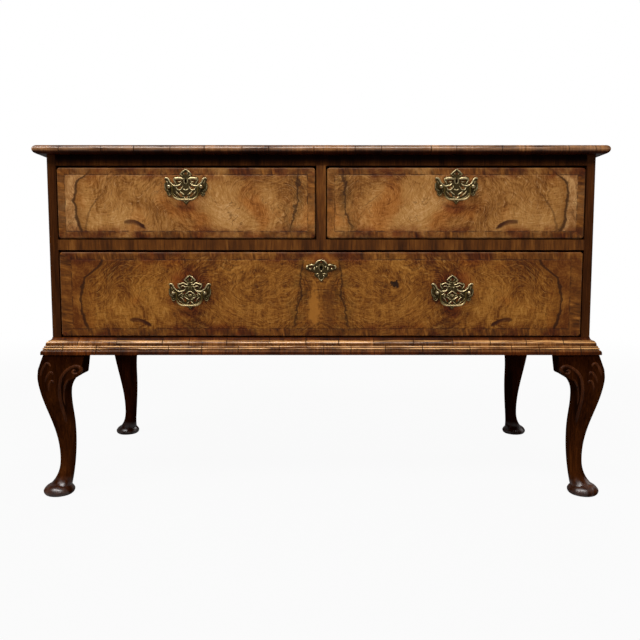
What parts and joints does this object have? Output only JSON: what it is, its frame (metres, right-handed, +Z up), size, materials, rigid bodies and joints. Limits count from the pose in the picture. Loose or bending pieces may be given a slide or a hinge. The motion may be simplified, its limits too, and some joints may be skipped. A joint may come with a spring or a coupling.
{
  "type": "chest of drawers",
  "caption": "Low antique walnut chest with short drawers over a long drawer, pierced brass bail handles, a moulded base and cabriole legs on pad feet.",
  "frame": {"origin": "on the floor under the middle of the case", "axes": "+X along the front to the right, +Y from front to back, +Z up"},
  "size_m": [1.2162, 0.5852, 0.749],
  "materials": {
    "walnut": "polished straight and cross grain walnut",
    "figured_walnut": "polished book-matched figured veneer with cross banding",
    "dark_walnut": "dark polished solid walnut",
    "oak": "unpolished drawer lining",
    "pine": "unpolished carcass wood",
    "brass": "aged cast brass",
    "iron": "dull iron lock work"
  },
  "bodies": {
    "carcass": {"left_side": "walnut", "right_side": "walnut", "top_rail": "walnut", "middle_rail": "walnut", "drawer_divider": "walnut", "top_edge_front": "walnut", "top_edge_left": "walnut", "top_edge_right": "walnut", "base_moulding_front": "walnut", "base_moulding_left": "walnut", "base_moulding_right": "walnut", "top_board": "figured_walnut", "leg_front_left": "dark_walnut", "leg_front_right": "dark_walnut", "leg_rear_left": "dark_walnut", "leg_rear_right": "dark_walnut", "knee_blocks_front": "dark_walnut", "knee_blocks_side": "dark_walnut", "bottom_rail": "pine", "rear_rail": "pine", "back_boards": "pine", "bottom_board": "pine", "upper_runners": "pine", "lower_runners": "pine", "centre_runner": "pine", "centre_guide": "pine", "drawer_stops": "pine"},
    "short_drawer_left": {"short_drawer_left_front": "figured_walnut", "short_drawer_left_left_side": "oak", "short_drawer_left_right_side": "oak", "short_drawer_left_back": "oak", "short_drawer_left_bottom": "oak", "short_drawer_left_lock_case": "iron", "short_drawer_left_lock_bolt": "iron", "short_drawer_left_backplate": "brass", "short_drawer_left_posts": "brass"},
    "short_drawer_right": {"short_drawer_right_front": "figured_walnut", "short_drawer_right_left_side": "oak", "short_drawer_right_right_side": "oak", "short_drawer_right_back": "oak", "short_drawer_right_bottom": "oak", "short_drawer_right_lock_case": "iron", "short_drawer_right_lock_bolt": "iron", "short_drawer_right_backplate": "brass", "short_drawer_right_posts": "brass"},
    "long_drawer": {"long_drawer_front": "figured_walnut", "long_drawer_left_side": "oak", "long_drawer_right_side": "oak", "long_drawer_back": "oak", "long_drawer_bottom": "oak", "long_drawer_lock_case": "iron", "long_drawer_lock_bolt": "iron", "long_drawer_backplate_left": "brass", "long_drawer_backplate_right": "brass", "long_drawer_posts": "brass", "escutcheon": "brass"},
    "short_drawer_left_bail": {"short_drawer_left_bail": "brass"},
    "short_drawer_right_bail": {"short_drawer_right_bail": "brass"},
    "long_drawer_bail_left": {"long_drawer_bail_left": "brass"},
    "long_drawer_bail_right": {"long_drawer_bail_right": "brass"}
  },
  "joints": [
    {"name": "short_drawer_left_slide", "type": "slide", "parent": "carcass", "child": "short_drawer_left", "axis": [0, -1, 0], "range_m": [0, 0.38]},
    {"name": "short_drawer_right_slide", "type": "slide", "parent": "carcass", "child": "short_drawer_right", "axis": [0, -1, 0], "range_m": [0, 0.38]},
    {"name": "long_drawer_slide", "type": "slide", "parent": "carcass", "child": "long_drawer", "axis": [0, -1, 0], "range_m": [0, 0.38]},
    {"name": "short_drawer_left_bail_swing", "type": "hinge", "parent": "short_drawer_left", "child": "short_drawer_left_bail", "pos_m": [-0.285, -0.2765, 0.664], "axis": [-1, 0, 0], "range_deg": [0, 85]},
    {"name": "short_drawer_right_bail_swing", "type": "hinge", "parent": "short_drawer_right", "child": "short_drawer_right_bail", "pos_m": [0.285, -0.2765, 0.664], "axis": [-1, 0, 0], "range_deg": [0, 85]},
    {"name": "long_drawer_bail_left_swing", "type": "hinge", "parent": "long_drawer", "child": "long_drawer_bail_left", "pos_m": [-0.28, -0.2765, 0.4415], "axis": [-1, 0, 0], "range_deg": [0, 85]},
    {"name": "long_drawer_bail_right_swing", "type": "hinge", "parent": "long_drawer", "child": "long_drawer_bail_right", "pos_m": [0.28, -0.2765, 0.4415], "axis": [-1, 0, 0], "range_deg": [0, 85]}
  ]
}
